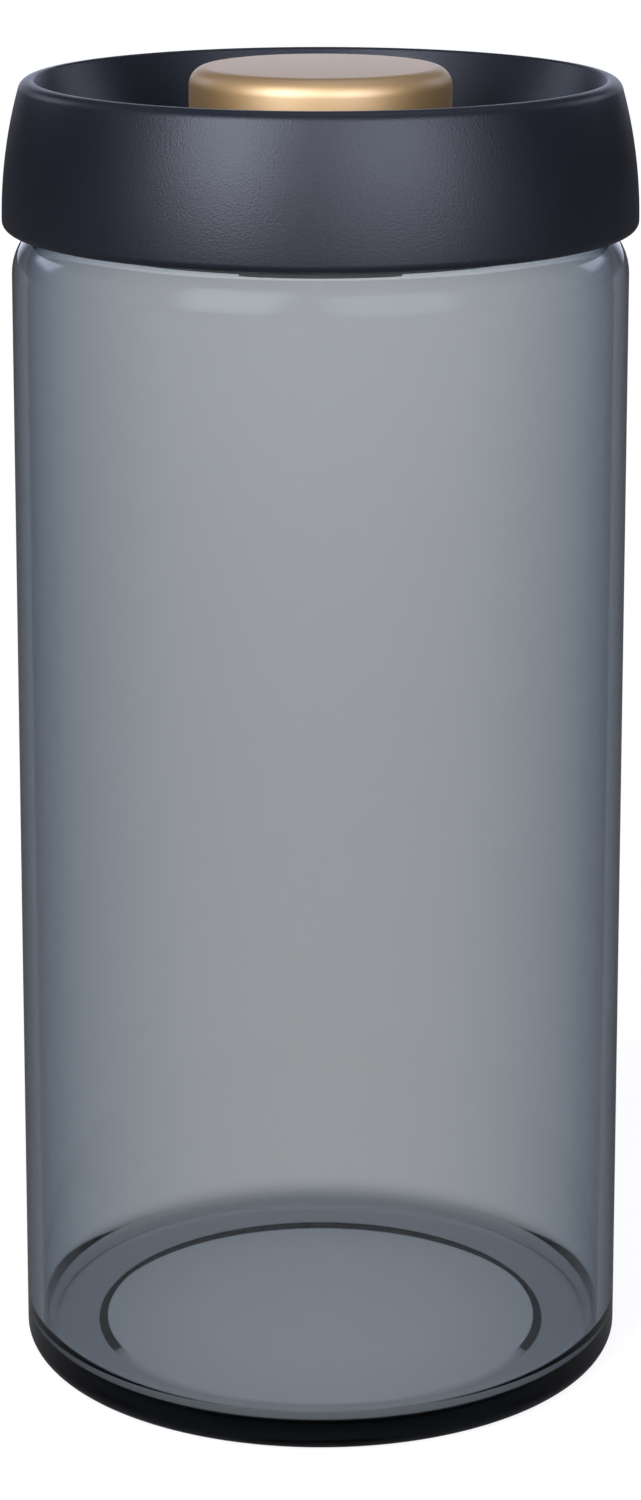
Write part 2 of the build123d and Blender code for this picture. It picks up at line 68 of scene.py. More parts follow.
MM = 0.001  # a millimetre in Blender's metres
ROUND_SIDES = 256
ARC_STEP_DEGREES = 7  # an arc's steps turn no further than this
ARC_STEP_SPAN = 110  # or than this over the radius, which makes them 1.9 mm long at most
ARC_STEPS_LEAST = 4
WELD_GAP = 0.002
SMOOTH_BELOW = 32  # degrees between faces, under which their edge is shaded smooth
JAR_RADIUS = 50.0
JAR_BORE = 47.6
NECK_RADIUS = 43.0
MOUTH_RADIUS = 40.5
FOOT_RADIUS = 47.0
INNER_HEEL_Z = 8.0
SHOULDER_MIDDLE = 41.0  # the radius at which the shoulder's arcs have their centre
JAR_SHOULDER_Z = 183.0
SHOULDER_TURN = 68.68  # degrees, until the shoulder meets the neck's fillet
MOUTH_TURN = 82.91  # the same inside
MOUTH_Z = 191.04
JAR_NECK_Z = 193.25
RIM_Z = 195.15  # where the rim's round begins
GLASS_WAVE = 55.0
GLASS_WAVE_DEPTH = 2.0
SMOKED_GLASS_EDGE = "#777b84"  # its tint in the light that it throws back
SMOKED_GLASS_ABSORBS = "#5b6a76"  # what is left of white light after a long way through it
SMOKED_GLASS_DENSITY = 310.0  # per metre
# painted shade: the glass's colour by how far the look slants, darkening towards grazing in
# place of dark surroundings mirrored there
SMOKED_GLASS_SLANT_SHADE = (  # the tint by how far the look slants, from straight on to grazing
    (0.15, "#ffffff"),
    (0.5, "#e4ebf5"),
    (0.75, "#b7c3d8"),
    (0.95, "#34415c"),
)


def linear(hex_colour):
    """An sRGB hex colour as linear RGBA."""
    shares = [int(hex_colour[i : i + 2], 16) / 255 for i in (1, 3, 5)]
    return (*[c / 12.92 if c <= 0.04045 else ((c + 0.055) / 1.055) ** 2.4 for c in shares], 1)


def add_node(tree, kind, settings=None, **inputs):
    """Add a node of a kind, with its settings, and a value or a link for each input. An
    input goes by its name, with _ for a space, or by its number after in."""
    node = tree.nodes.new(kind)
    for name, value in (settings or {}).items():
        setattr(node, name, value)
    for name, value in inputs.items():
        key = int(name[2:]) if name.startswith("in") else name.replace("_", " ")
        if isinstance(value, bpy.types.NodeSocket):
            tree.links.new(value, node.inputs[key])
        else:
            node.inputs[key].default_value = value
    return node


def new_material(name):
    """An empty node material, its tree, and its output node."""
    material = bpy.data.materials.new(name)
    material.use_nodes = True
    material.node_tree.nodes.clear()
    output = material.node_tree.nodes.new("ShaderNodeOutputMaterial")
    return material, material.node_tree, output


def turned(name, start, path, centre=(0.0, 0.0), sides=ROUND_SIDES):
    """A piece turned from a half section. It starts at (r, z) in millimetres and goes on to
    each (r, z), or round each (centre r, centre z, degrees), anticlockwise when positive."""
    bpy.ops.object.select_all(action="DESELECT")
    bpy.ops.mesh.primitive_plane_add(
        size=MM, location=((centre[0] + start[0]) * MM, centre[1] * MM, start[1] * MM)
    )
    piece = bpy.context.object
    piece.name = piece.data.name = name
    bpy.ops.object.transform_apply(location=True, rotation=True, scale=True)
    bpy.ops.object.mode_set(mode="EDIT")
    bpy.ops.mesh.select_mode(type="VERT")
    bpy.ops.mesh.merge(type="CENTER")
    r, z = start
    for step in path:
        if len(step) == 2:
            move = ((step[0] - r) * MM, 0, (step[1] - z) * MM)
            bpy.ops.mesh.extrude_vertices_move(TRANSFORM_OT_translate={"value": move})
            r, z = step
            continue
        middle_r, middle_z, degrees = step
        turn = math.radians(degrees)
        dr, dz = r - middle_r, z - middle_z
        by_angle = math.ceil(abs(degrees) / ARC_STEP_DEGREES)
        by_length = math.ceil(math.hypot(dr, dz) * abs(degrees) / ARC_STEP_SPAN)
        bpy.ops.mesh.spin(
            steps=max(ARC_STEPS_LEAST, by_angle, by_length),
            angle=turn,
            center=((centre[0] + middle_r) * MM, centre[1] * MM, middle_z * MM),
            axis=(0, 1, 0),
        )
        r = middle_r + dr * math.cos(turn) - dz * math.sin(turn)
        z = middle_z + dr * math.sin(turn) + dz * math.cos(turn)
    bpy.ops.mesh.select_all(action="SELECT")
    bpy.ops.mesh.spin(
        steps=sides,
        angle=2 * math.pi,
        center=(centre[0] * MM, centre[1] * MM, 0),
        axis=(0, 0, 1),
    )
    bpy.ops.mesh.select_all(action="SELECT")
    bpy.ops.mesh.remove_doubles(threshold=WELD_GAP * MM)
    bpy.ops.mesh.normals_make_consistent(inside=False)
    bpy.ops.object.mode_set(mode="OBJECT")
    bpy.ops.object.shade_smooth_by_angle(angle=math.radians(SMOOTH_BELOW))
    return piece


jar = turned(
    "jar_body",
    (0, 1.9),
    [
        (20, 1.6),
        (36.5, 1.2),  # the base's underside, arched a little
        (38, 0),
        (FOOT_RADIUS, 0),  # the foot ring, on which the jar stands
        (FOOT_RADIUS, 3, 90),
        (JAR_RADIUS, JAR_SHOULDER_Z),
        (SHOULDER_MIDDLE, JAR_SHOULDER_Z, SHOULDER_TURN),
        (45, JAR_NECK_Z, -SHOULDER_TURN),
        (NECK_RADIUS, RIM_Z),
        (41.75, RIM_Z, 180),  # the fire-polished rim
        (MOUTH_RADIUS, MOUTH_Z),
        (42, MOUTH_Z, MOUTH_TURN),
        (SHOULDER_MIDDLE, JAR_SHOULDER_Z, -MOUTH_TURN),
        (JAR_BORE, INNER_HEEL_Z),
        (43.6, INNER_HEEL_Z, -90),
        (20, 4.15),
        (0, 4.4),  # the floor, raised a little in the middle
    ],
)

# Soda-lime glass with the smoke melted in. The eye looks through the wall as through a grey
# filter, which deepens where the look slants through more glass or meets the thick base. On
# top of that, painted shade darkens the glass's colour to blue-black towards grazing, standing
# in for dark surroundings mirrored in the jar's sides. Highlights are sharp, and waver a
# little with the waves left by blowing.
smoked_glass, tree, output = new_material("smoked_glass")
place = add_node(tree, "ShaderNodeTexCoord").outputs["Object"]
waves = add_node(
    tree, "ShaderNodeTexNoise", Vector=place, Scale=1 / (GLASS_WAVE * MM), Detail=1.0
)
ripple = add_node(
    tree,
    "ShaderNodeBump",
    Strength=0.04,
    Distance=GLASS_WAVE_DEPTH * MM,
    Height=waves.outputs["Fac"],
)
slant = add_node(tree, "ShaderNodeLayerWeight", Blend=0.5)
# painted shade: this ramp darkens the glass's colour towards its grazing edges, standing in
# for dark surroundings mirrored in the jar's sides
edge = add_node(tree, "ShaderNodeValToRGB", Fac=slant.outputs["Facing"])
for at, colour in SMOKED_GLASS_SLANT_SHADE:
    edge.color_ramp.elements.new(at).color = linear(colour)
for end in (0, -1):  # the black and the white that a new ramp has
    edge.color_ramp.elements.remove(edge.color_ramp.elements[end])
glass = add_node(
    tree,
    "ShaderNodeBsdfPrincipled",
    Base_Color=edge.outputs["Color"],
    Roughness=0.0,
    IOR=1.52,
    Specular_Tint=linear(SMOKED_GLASS_EDGE),
    Transmission_Weight=1.0,
    Normal=ripple.outputs["Normal"],
)
smoke = add_node(
    tree,
    "ShaderNodeVolumeAbsorption",
    Color=linear(SMOKED_GLASS_ABSORBS),
    Density=SMOKED_GLASS_DENSITY,
)
tree.links.new(glass.outputs["BSDF"], output.inputs["Surface"])
tree.links.new(smoke.outputs["Volume"], output.inputs["Volume"])
jar.data.materials.append(smoked_glass)
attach(jar, "jar")
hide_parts("glass_jar")

# Pump housing. Injection-moulded black polypropylene, screwed up under the cap: the plug in
# the jar's mouth, the pump's well, the flange and the tube of the release valve.

CAD_WELD_GAP = 0.001  # a node's triangles are loose, and are merged within this
CAD_SMOOTH_BELOW = 30  # degrees
HOUSING_BLACK = "#2b2c30"
PLASTIC_SHEEN = "#e8ecfc"
HANDLED_PATCH = 28.0  # across a patch that hands have polished or dulled
TONE_DRIFT = 0.14  # of the colour, up and down
PLASTIC_DRIFT = 0.03  # of the roughness, up and down
NOISE_LOW, NOISE_HIGH = 0.3, 0.7  # a noise texture seldom leaves these
GRAIN_BUMP = 0.5  # strength of a grain's or mark's bump


def smoothed(name, node, body, material):
    """A merged copy of a node with clean shading, which then stands for the node. The copy
    is first freed of the node's own body and name."""
    bpy.ops.object.select_all(action="DESELECT")
    piece = nodes[node].copy()
    piece.data = nodes[node].data.copy()
    piece.name = piece.data.name = name
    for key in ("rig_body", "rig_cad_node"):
        del piece[key]
    piece.parent = None
    bpy.context.scene.collection.objects.link(piece)
    piece.select_set(True)
    bpy.context.view_layer.objects.active = piece
    bpy.ops.object.mode_set(mode="EDIT")
    bpy.ops.mesh.select_all(action="SELECT")
    bpy.ops.mesh.remove_doubles(threshold=CAD_WELD_GAP * MM)
    bpy.ops.object.mode_set(mode="OBJECT")
    bpy.ops.object.shade_smooth_by_angle(angle=math.radians(CAD_SMOOTH_BELOW))
    piece.data.materials.clear()
    piece.data.materials.append(material)
    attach(piece, body)
    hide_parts(node)
    return piece


def moulded_plastic(name, colour, grain_mm, grain_depth_mm, rough, sheen_share):
    """A moulded plastic: an even colour, a spark-eroded grain, and a roughness that drifts
    a little where the moulding has been handled."""
    material, tree, output = new_material(name)
    place = add_node(tree, "ShaderNodeTexCoord").outputs["Object"]
    drift = add_node(
        tree, "ShaderNodeTexNoise", Vector=place, Scale=1 / (HANDLED_PATCH * MM), Detail=3.0
    )
    grain = add_node(
        tree, "ShaderNodeTexNoise", Vector=place, Scale=1 / (grain_mm * MM), Detail=2.0
    )
    tone = add_node(
        tree,
        "ShaderNodeMix",
        {"data_type": "RGBA"},
        in0=drift.outputs["Fac"],
        in6=(*[c * (1 - TONE_DRIFT) for c in linear(colour)[:3]], 1),
        in7=(*[c * (1 + TONE_DRIFT) for c in linear(colour)[:3]], 1),
    )
    gloss = add_node(
        tree,
        "ShaderNodeMapRange",
        Value=drift.outputs["Fac"],
        From_Min=NOISE_LOW,
        From_Max=NOISE_HIGH,
        To_Min=rough - PLASTIC_DRIFT,
        To_Max=rough + PLASTIC_DRIFT,
    )
    bump = add_node(
        tree,
        "ShaderNodeBump",
        Strength=GRAIN_BUMP,
        Distance=grain_depth_mm * MM,
        Height=grain.outputs["Fac"],
    )
    shader = add_node(
        tree,
        "ShaderNodeBsdfPrincipled",
        Base_Color=tone.outputs[2],
        Roughness=gloss.outputs["Result"],
        IOR=1.5,
        Specular_IOR_Level=sheen_share,
        Specular_Tint=linear(PLASTIC_SHEEN),
        Normal=bump.outputs["Normal"],
    )
    tree.links.new(shader.outputs["BSDF"], output.inputs["Surface"])
    return material


# Polypropylene is a little waxy: a soft black with a broad, weak sheen. Its fine mould grain
# is drawn at 0.8 mm, coarser than it is, so that it shows.
housing_plastic = moulded_plastic(
    "black_polypropylene",
    HOUSING_BLACK,
    grain_mm=0.8,
    grain_depth_mm=0.03,
    rough=0.5,
    sheen_share=0.45,
)
smoothed("pump_body", "pump_housing", "lid", housing_plastic)

# Filter. A woven steel disc that keeps crumbs and dust out of the pump, behind a slotted cap
# of uncoloured polypropylene that is pushed on over the ring under the plug.

MILKY_WHITE = "#cdcfcd"
MESH_GREY = "#b9bbbd"
STEEL_DRIFT = 0.08  # of the roughness, up and down

# Uncoloured polypropylene looks milky and soft-edged, and shines a little more than the
# black. Its grain is drawn as coarse as the housing's, so that it shows.
milky_plastic = moulded_plastic(
    "natural_polypropylene",
    MILKY_WHITE,
    grain_mm=0.8,
    grain_depth_mm=0.02,
    rough=0.45,
    sheen_share=0.5,
)
smoothed("filter_cap", "filter_cover", "lid", milky_plastic)


def stainless(name, colour, mark_mm, mark_depth_mm, rough):
    """Stainless steel: a metal whose fine drawing or turning marks break up its gloss."""
    material, tree, output = new_material(name)
    place = add_node(tree, "ShaderNodeTexCoord").outputs["Object"]
    marks = add_node(
        tree, "ShaderNodeTexNoise", Vector=place, Scale=1 / (mark_mm * MM), Detail=4.0
    )
    gloss = add_node(
        tree,
        "ShaderNodeMapRange",
        Value=marks.outputs["Fac"],
        From_Min=NOISE_LOW,
        From_Max=NOISE_HIGH,
        To_Min=rough - STEEL_DRIFT,
        To_Max=rough + STEEL_DRIFT,
    )
    bump = add_node(
        tree,
        "ShaderNodeBump",
        Strength=GRAIN_BUMP,
        Distance=mark_depth_mm * MM,
        Height=marks.outputs["Fac"],
    )
    shader = add_node(
        tree,
        "ShaderNodeBsdfPrincipled",
        Base_Color=linear(colour),
        Metallic=1.0,
        Roughness=gloss.outputs["Result"],
        Normal=bump.outputs["Normal"],
    )
    tree.links.new(shader.outputs["BSDF"], output.inputs["Surface"])
    return material


# Fine stainless wire, woven: a grey metal that glitters dully, because every wire is round.
# The wires are drawn at 0.4 mm, coarser than they are, so that they show.
nodes["filter_screen"].material_slots[0].material = stainless(
    "woven_steel_mesh", MESH_GREY, mark_mm=0.4, mark_depth_mm=0.02, rough=0.38
)

# Jar seal. A soft silicone sleeve round the plug, its flange on the glass rim and three
# thin lips in the mouth.

SILICONE_GREY = "#4a4b50"
SLEEVE_INSIDE = 38.35
SLEEVE_OUTSIDE = 39.3
LIP_RADIUS = 40.2
SEAL_BOTTOM_Z = 191.45
SEAL_FLANGE_Z = 196.5

# Silicone is soft and a little dusty to the eye: an even dark grey that hardly shines. Its
# faint mould texture is drawn at 1.6 mm, coarser than it is, so that it shows.
silicone = moulded_plastic(
    "matte_silicone",
    SILICONE_GREY,
    grain_mm=1.6,
    grain_depth_mm=0.02,
    rough=0.62,
    sheen_share=0.35,
)
seal = turned(
    "jar_seal_sleeve",
    (SLEEVE_INSIDE, SEAL_BOTTOM_Z),
    [
        (SLEEVE_OUTSIDE, SEAL_BOTTOM_Z),
        (SLEEVE_OUTSIDE, 192.0),  # the lowest lip, which slants up to its thin tip
        (LIP_RADIUS, 192.75),
        (LIP_RADIUS, 192.925, 180),
        (SLEEVE_OUTSIDE, 193.1),
        (SLEEVE_OUTSIDE, 193.65),  # the middle lip
        (LIP_RADIUS, 194.4),
        (LIP_RADIUS, 194.575, 180),
        (SLEEVE_OUTSIDE, 194.75),
        (SLEEVE_OUTSIDE, 195.3),  # the highest lip
        (LIP_RADIUS, 196.02),
        (LIP_RADIUS, 196.145, 180),
        (SLEEVE_OUTSIDE, 196.27),
        (SLEEVE_OUTSIDE, SEAL_FLANGE_Z),  # the flange on the jar's rim
        (42.55, SEAL_FLANGE_Z),
        (42.55, 196.95, 180),
        (SLEEVE_INSIDE, 197.4),
        (SLEEVE_INSIDE, SEAL_BOTTOM_Z),
    ],
)
seal.data.materials.append(silicone)
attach(seal, "lid")
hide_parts("jar_seal")
for name in (
    "dish_o_ring",
    "bumper_ring",
    "piston_seal",
    "exhaust_valve",
    "intake_valve",
    "release_seal",
):
    nodes[name].material_slots[0].material = silicone

# Plunger and springs. A dark acetal piston that slides in the housing's well, lifted again
# by a stainless coil.

ACETAL_GREY = "#7c7d80"
WIRE_GREY = "#cfcfd0"
WIRE_SIDES = 12
COIL_STEPS = 40  # for each turn
COIL_SMOOTH_BELOW = 50  # degrees
SPRING_SEAT_Z = 191.45
RELEASE_Y = 31.45  # how far behind the middle the air release stands

# Acetal is dense and slick: a plain grey with a smooth, slightly greasy gloss. Its faint
# mould texture is drawn at 1 mm, coarser than it is, so that it shows.
pump_plastic = moulded_plastic(
    "dark_acetal", ACETAL_GREY, grain_mm=1.0, grain_depth_mm=0.02, rough=0.42, sheen_share=0.5
)
nodes["plunger"].material_slots[0].material = pump_plastic

# Wire drawn bright through a die: a light metal with narrow highlights along the coil. The
# die's marks are drawn at 0.3 mm, coarser than they are, so that they show.
spring_steel = stainless(
    "drawn_stainless_wire", WIRE_GREY, mark_mm=0.3, mark_depth_mm=0.01, rough=0.25
)
nodes["release_stem"].material_slots[0].material = spring_steel


def wound(name, radius, wire, turns, bottom, top, y):
    """A coil spring, its wire a small ring swept up the coil's screw."""
    bpy.ops.object.select_all(action="DESELECT")
    bpy.ops.mesh.primitive_circle_add(
        vertices=WIRE_SIDES,
        radius=wire / 2 * MM,
        location=(radius * MM, 0, (bottom + wire / 2) * MM),
        rotation=(math.pi / 2, 0, 0),
    )
    piece = bpy.context.object
    piece.name = piece.data.name = name
    bpy.ops.object.transform_apply(location=True, rotation=True, scale=True)
    screw = piece.modifiers.new("coil", "SCREW")
    screw.angle = 2 * math.pi * turns
    screw.screw_offset = (top - bottom - wire) * MM
    screw.steps = screw.render_steps = round(COIL_STEPS * turns)
    screw.use_merge_vertices = True
    bpy.ops.object.modifier_apply(modifier="coil")
    bpy.ops.object.mode_set(mode="EDIT")
    bpy.ops.mesh.select_all(action="DESELECT")
    bpy.ops.mesh.select_non_manifold()  # the wire's two open ends
    bpy.ops.mesh.edge_face_add()
    bpy.ops.mesh.select_all(action="SELECT")
    bpy.ops.mesh.normals_make_consistent(inside=False)
    bpy.ops.transform.translate(value=(0, y * MM, 0))
    bpy.ops.object.mode_set(mode="OBJECT")
    bpy.ops.object.shade_smooth_by_angle(angle=math.radians(COIL_SMOOTH_BELOW))
    piece.data.materials.append(spring_steel)
    return piece


return_coil = wound(
    "return_coil", radius=11.0, wire=1.4, turns=4.5, bottom=SPRING_SEAT_Z, top=208.55, y=0
)
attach(return_coil, "lid")
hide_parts("return_spring")
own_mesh(return_coil)
release_coil = wound(
    "release_coil",
    radius=2.3,
    wire=0.51,
    turns=5,
    bottom=SPRING_SEAT_Z,
    top=197.55,
    y=RELEASE_Y,
)
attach(release_coil, "lid")
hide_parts("release_spring")
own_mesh(release_coil)

# Lid cap. Injection-moulded black ABS with a satin spark-eroded skin. A thin rim runs round
# a deep dish, and the skirt swells gently outwards and down over the jar's neck. Six bosses
# hang under the dish for the housing's screws.

LID_BLACK = "#101218"
SKIRT_Z = 191.8  # where the skirt is widest
SKIRT_INSIDE = 49.3
CROWN_MIDDLE = -26.5  # the skirt is an arc of 78 mm round this, outside, and of 75.8 inside
WELL_EDGE = 25.6
HOUSING_TOP_Z = 199.4
BOSS_RADIUS = 2.3
BOSS_TOP_Z = 208.0  # inside the dish's sloping wall
PILOT_RADIUS = 1.15
PILOT_TOP_Z = 205.45
SCREW_COUNT = 6
SCREW_CIRCLE = 46.4
FIRST_SCREW = 30  # degrees
RELEASE_HOLE_RADIUS = 3.5
RELEASE_HOLE_CUT = (197.0, 205.0)  # from under the dish's floor to over it
ROD_SIDES = 48
CUT_OVER = 1.0  # how far a cutting rod starts outside what it cuts

lid = turned(
    "lid_shell",
    (SKIRT_INSIDE, SKIRT_Z),
    [
        (SKIRT_INSIDE, 190.6),
        (49.5, 190.6, 90),  # the skirt's lower edge
        (50.1, 190.4),
        (50.1, SKIRT_Z, 90),
        (CROWN_MIDDLE, SKIRT_Z, 15.724),  # the crowned outside
        (46.655, 212.4, 74.276),  # the rim
        (46.544, 214.4),
        (46.544, 213.8, 66),
        (41.247, 203.38),  # the dish's sloping wall
        (38.507, 204.6, -66),
        (WELL_EDGE, 201.6),  # the dish's floor
        (WELL_EDGE, 201.3, 90),
        (25.3, HOUSING_TOP_Z),
        (41.884, HOUSING_TOP_Z),  # the floor's underside, on the housing
        (46.909, 210.687),
        (CROWN_MIDDLE, SKIRT_Z, -14.4284),  # the inside of the skirt
        (SKIRT_INSIDE, SKIRT_Z),
    ],
)


def apply_boolean(piece, other, operation):
    """Cut another piece from a piece, or weld it on, and delete the other."""
    step = piece.modifiers.new("cut", "BOOLEAN")
    step.operation = operation
    step.solver = "EXACT"
    step.object = other
    bpy.context.view_layer.objects.active = piece
    bpy.ops.object.modifier_apply(modifier="cut")
    bpy.data.objects.remove(other)


def six_round(piece):
    """Turn a piece to the first screw's place and copy it to the others'."""
    bpy.ops.object.select_all(action="DESELECT")
    piece.select_set(True)
    bpy.context.view_layer.objects.active = piece
    bpy.ops.object.mode_set(mode="EDIT")
    bpy.ops.mesh.select_all(action="SELECT")
    bpy.ops.transform.rotate(
        value=math.radians(FIRST_SCREW), orient_axis="Z", center_override=(0, 0, 0)
    )
    for _ in range(SCREW_COUNT - 1):
        bpy.ops.mesh.duplicate()
        bpy.ops.transform.rotate(
            value=math.radians(360 / SCREW_COUNT), orient_axis="Z", center_override=(0, 0, 0)
        )
    bpy.ops.object.mode_set(mode="OBJECT")


def rod(radius, bottom, top, x, y):
    """A plain upright rod to weld on or to cut with. It is turned by half a side, so that
    none of its edges falls on an edge of a turned piece."""
    bpy.ops.object.select_all(action="DESELECT")
    bpy.ops.mesh.primitive_cylinder_add(
        vertices=ROD_SIDES,
        radius=radius * MM,
        depth=(top - bottom) * MM,
        location=(x * MM, y * MM, (bottom + top) / 2 * MM),
        rotation=(0, 0, math.pi / ROD_SIDES),
    )
    bpy.ops.object.transform_apply(location=True, rotation=True, scale=True)
    return bpy.context.object


bosses = rod(BOSS_RADIUS, HOUSING_TOP_Z, BOSS_TOP_Z, SCREW_CIRCLE, 0)
six_round(bosses)
apply_boolean(lid, bosses, "UNION")
pilots = rod(PILOT_RADIUS, HOUSING_TOP_Z - CUT_OVER, PILOT_TOP_Z, SCREW_CIRCLE, 0)
six_round(pilots)
apply_boolean(lid, pilots, "DIFFERENCE")
release_hole = rod(RELEASE_HOLE_RADIUS, *RELEASE_HOLE_CUT, 0, RELEASE_Y)
apply_boolean(lid, release_hole, "DIFFERENCE")
bpy.ops.object.select_all(action="DESELECT")
lid.select_set(True)
bpy.ops.object.shade_smooth_by_angle(angle=math.radians(SMOOTH_BELOW))

# ABS from a spark-eroded mould: a blue-black that spreads each light into a wide satin glow,
# over a fine leathery grain. The grain is drawn at 0.3 mm, coarser than it is, so that it
# shows.
lid_plastic = moulded_plastic(
    "satin_black_abs",
    LID_BLACK,
    grain_mm=0.3,
    grain_depth_mm=0.085,
    rough=0.38,
    sheen_share=0.5,
)
lid.data.materials.append(lid_plastic)
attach(lid, "lid")
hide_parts("lid_cap")

# Screws. Six countersunk stainless screws hold the housing up against the cap. Their heads
# sit flush under the flange, with a cross recess for the driver.

SCREW_HEAD_Z = 197.4
SCREW_RADIUS = 1.1
SCREW_SIDES = 48
SCREW_GREY = "#c6c7c9"
FLAT_BELOW = 1  # degrees between faces, under which they are one flat face
RECESS_BLADES = ((1.1, 0.22, 0.7), (0.22, 1.1, 0.65))  # half sizes, ends not in one plane
screw = turned(
    "housing_screw_set",
    (0, SCREW_HEAD_Z),
    [
        (1.7, SCREW_HEAD_Z),
        (1.9, SCREW_HEAD_Z + 0.1),  # the countersunk head
        (SCREW_RADIUS, SCREW_HEAD_Z + 0.9),
        (SCREW_RADIUS, SCREW_HEAD_Z + 7.0),
        (0, SCREW_HEAD_Z + 8.0),  # the point
    ],
    centre=(SCREW_CIRCLE, 0),
    sides=SCREW_SIDES,
)
bpy.ops.object.mode_set(mode="EDIT")
bpy.ops.mesh.select_all(action="SELECT")
bpy.ops.mesh.dissolve_limited(angle_limit=math.radians(FLAT_BELOW))
bpy.ops.object.mode_set(mode="OBJECT")
for half_sizes in RECESS_BLADES:
    bpy.ops.mesh.primitive_cube_add(
        size=2 * MM, location=(SCREW_CIRCLE * MM, 0, SCREW_HEAD_Z * MM)
    )
    blade = bpy.context.object
    bpy.ops.transform.resize(value=half_sizes)
    apply_boolean(screw, blade, "DIFFERENCE")
six_round(screw)
bpy.ops.object.shade_smooth_by_angle(angle=math.radians(CAD_SMOOTH_BELOW))

# Steel turned and left bright: cool grey, with small hard highlights that the fine turning
# marks break up. The marks are drawn at 0.25 mm, coarser than they are, so that they show.
screw_steel = stainless(
    "turned_stainless_steel", SCREW_GREY, mark_mm=0.25, mark_depth_mm=0.01, rough=0.3
)
screw.data.materials.append(screw_steel)
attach(screw, "lid")
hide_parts("housing_screws")

# Collar. A small black trim ring, pressed over the well, that hides the button's gap and
# stops the plunger from coming out.

COLLAR_INSIDE = 25.1
COLLAR_BOTTOM_Z = 201.6
COLLAR_STOP_Z = 204.3  # where the plunger stops
WELL_TOP_Z = 203.4
collar = turned(
    "collar_ring",
    (COLLAR_INSIDE, COLLAR_BOTTOM_Z),
    [
        (26.6, COLLAR_BOTTOM_Z),
        (26.6, 205.0),
        (25.8, 205.0, 90),  # the outer round
        (21.8, 205.8),
        (21.8, 205.5, 90),  # the edge round the button
        (21.5, COLLAR_STOP_Z),
        (23.0, COLLAR_STOP_Z),
        (23.0, WELL_TOP_Z),
        (COLLAR_INSIDE, WELL_TOP_Z),
        (COLLAR_INSIDE, COLLAR_BOTTOM_Z),
    ],
)
collar.data.materials.append(lid_plastic)
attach(collar, "lid")
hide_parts("button_collar")

# Button cap. A cup deep drawn from aluminium sheet, its lower edge rounded, bead blasted and
# anodised champagne gold, then glued over the plunger.

GOLD = "#c49e62"
BUTTON_RADIUS = 21.2
BUTTON_INSIDE = 20.2
BUTTON_TOP_Z = 216.2
BUTTON_ROUND_Z = 213.2  # where its top edge begins to round over
BUTTON_ROUND_MIDDLE = 18.2
BUTTON_HEM_Z = 205.1  # where its lower edge is rounded
BLAST_SIZE = 0.35
BLAST_DEPTH = 0.02
DYE_PATCH = 16.0
SATIN_LEAST, SATIN_MOST = 0.56, 0.64  # roughness
OXIDE_IOR = 2.2
button = turned(
    "button_shell",
    (0, 215.2),
    [
        (BUTTON_ROUND_MIDDLE, 215.2),
        (BUTTON_ROUND_MIDDLE, BUTTON_ROUND_Z, -90),
        (BUTTON_INSIDE, BUTTON_HEM_Z),
        (20.5, BUTTON_HEM_Z, 90),
        (20.9, 204.8),
        (20.9, BUTTON_HEM_Z, 90),
        (BUTTON_RADIUS, BUTTON_ROUND_Z),
        (BUTTON_ROUND_MIDDLE, BUTTON_ROUND_Z, 90),
        (0, BUTTON_TOP_Z),
    ],
)

# Anodised aluminium, blasted with fine beads and then dyed. The eye gets a warm metal whose
# highlights are wide and soft, with a fine sparkle, and whose flat top is a pinkish grey where
# the sealed oxide skin mirrors the room. The skin is a clear coat of high index. The blast is
# drawn at 0.35 mm, coarser than it is, so that it shows.
gold, tree, output = new_material("gold_anodised_aluminium")
place = add_node(tree, "ShaderNodeTexCoord").outputs["Object"]
grain = add_node(
    tree, "ShaderNodeTexNoise", Vector=place, Scale=1 / (BLAST_SIZE * MM), Detail=2.0
)
bump = add_node(
    tree,
    "ShaderNodeBump",
    Strength=0.35,
    Distance=BLAST_DEPTH * MM,
    Height=grain.outputs["Fac"],
)
patch = add_node(
    tree, "ShaderNodeTexNoise", Vector=place, Scale=1 / (DYE_PATCH * MM), Detail=2.0
)
satin = add_node(
    tree,
    "ShaderNodeMapRange",
    Value=patch.outputs["Fac"],
    To_Min=SATIN_LEAST,
    To_Max=SATIN_MOST,
)
shader = add_node(
    tree,
    "ShaderNodeBsdfPrincipled",
    Base_Color=linear(GOLD),
    Metallic=1.0,
    Roughness=satin.outputs["Result"],
    Normal=bump.outputs["Normal"],
    Coat_Weight=1.0,
    Coat_Roughness=0.45,
    Coat_IOR=OXIDE_IOR,
    Coat_Normal=bump.outputs["Normal"],
)
tree.links.new(shader.outputs["BSDF"], output.inputs["Surface"])
button.data.materials.append(gold)
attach(button, "button")
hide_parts("button_cap")

# Release knob. A small black push knob behind the button, on the stem of the air release.

KNOB_SIDES = 96
KNOB_BORE = 1.25
KNOB_BORE_TOP_Z = 201.55
KNOB_BOTTOM_Z = 197.6
KNOB_ROUND_Z = 203.6
knob = turned(
    "release_knob",
    (0, KNOB_BORE_TOP_Z),
    [
        (KNOB_BORE, KNOB_BORE_TOP_Z),  # the bore for the stem
        (KNOB_BORE, KNOB_BOTTOM_Z),
        (3.0, KNOB_BOTTOM_Z),
        (3.0, 197.8, 90),
        (3.2, KNOB_ROUND_Z),
        (2.4, KNOB_ROUND_Z, 90),
        (2.1, 204.4),
        (1.2, 204.05),  # a shallow hollow for the fingertip
        (0, 203.95),
    ],
    centre=(0, RELEASE_Y),
    sides=KNOB_SIDES,
)
knob.data.materials.append(lid_plastic)
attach(knob, "release")
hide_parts("release_button")

# Floor. A plain pale studio table. The camera sees it white, through the glass as well, with
# the canister's soft shadow kept. Gloss sees it bright in front of the canister and dark
# beside and behind it. Its sizes are in metres.

